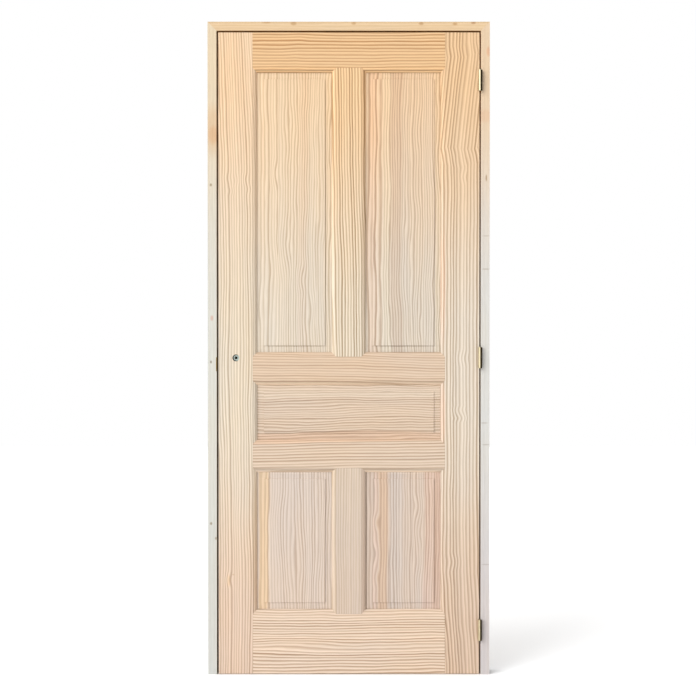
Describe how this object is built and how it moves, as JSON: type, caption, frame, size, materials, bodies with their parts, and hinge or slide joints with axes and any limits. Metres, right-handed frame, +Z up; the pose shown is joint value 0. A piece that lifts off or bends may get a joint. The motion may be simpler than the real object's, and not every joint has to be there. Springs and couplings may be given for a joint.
{
  "type": "panel door",
  "caption": "Raw pine panel door with raised fields and ovolo mouldings, hung on brass butt hinges in its own rebated frame, bored for a lever handle.",
  "frame": {"origin": "floor level, on the hinge jamb's outer face, at the middle of the frame's depth", "axes": "+Z up; +X out of the hinge jamb into the wall beside it; -Y towards the room the leaf opens into"},
  "size_m": [0.892, 0.084, 2.066],
  "materials": {
    "framing_pine": "bare planed pine",
    "panel_pine": "bare planed pine",
    "frame_pine": "bare planed pine",
    "hinge_brass": "brassed steel",
    "lock_brass": "dull brassed steel",
    "lock_zinc": "zinc plated"
  },
  "bodies": {
    "frame": {"hinge_jamb": "frame_pine", "latch_jamb": "frame_pine", "frame_head": "frame_pine", "strike_plate": "lock_brass", "top_hinge_frame_plate": "hinge_brass", "top_hinge_pin": "hinge_brass", "middle_hinge_frame_plate": "hinge_brass", "middle_hinge_pin": "hinge_brass", "bottom_hinge_frame_plate": "hinge_brass", "bottom_hinge_pin": "hinge_brass"},
    "leaf": {"hinge_stile": "framing_pine", "latch_stile": "framing_pine", "top_rail": "framing_pine", "upper_lock_rail": "framing_pine", "lower_lock_rail": "framing_pine", "bottom_rail": "framing_pine", "upper_mullion": "framing_pine", "lower_mullion": "framing_pine", "upper_left_panel": "panel_pine", "upper_right_panel": "panel_pine", "middle_panel": "panel_pine", "lower_left_panel": "panel_pine", "lower_right_panel": "panel_pine", "lock_case": "lock_zinc", "lock_forend": "lock_brass", "lock_follower": "lock_zinc", "latch_bolt": "lock_zinc", "top_hinge_leaf_plate": "hinge_brass", "middle_hinge_leaf_plate": "hinge_brass", "bottom_hinge_leaf_plate": "hinge_brass"}
  },
  "joints": [
    {"name": "leaf_swing", "type": "hinge", "parent": "frame", "child": "leaf", "pos_m": [-0.0305, -0.0425, 1.02], "axis": [0, 0, 1], "range_deg": [0, 180]}
  ]
}
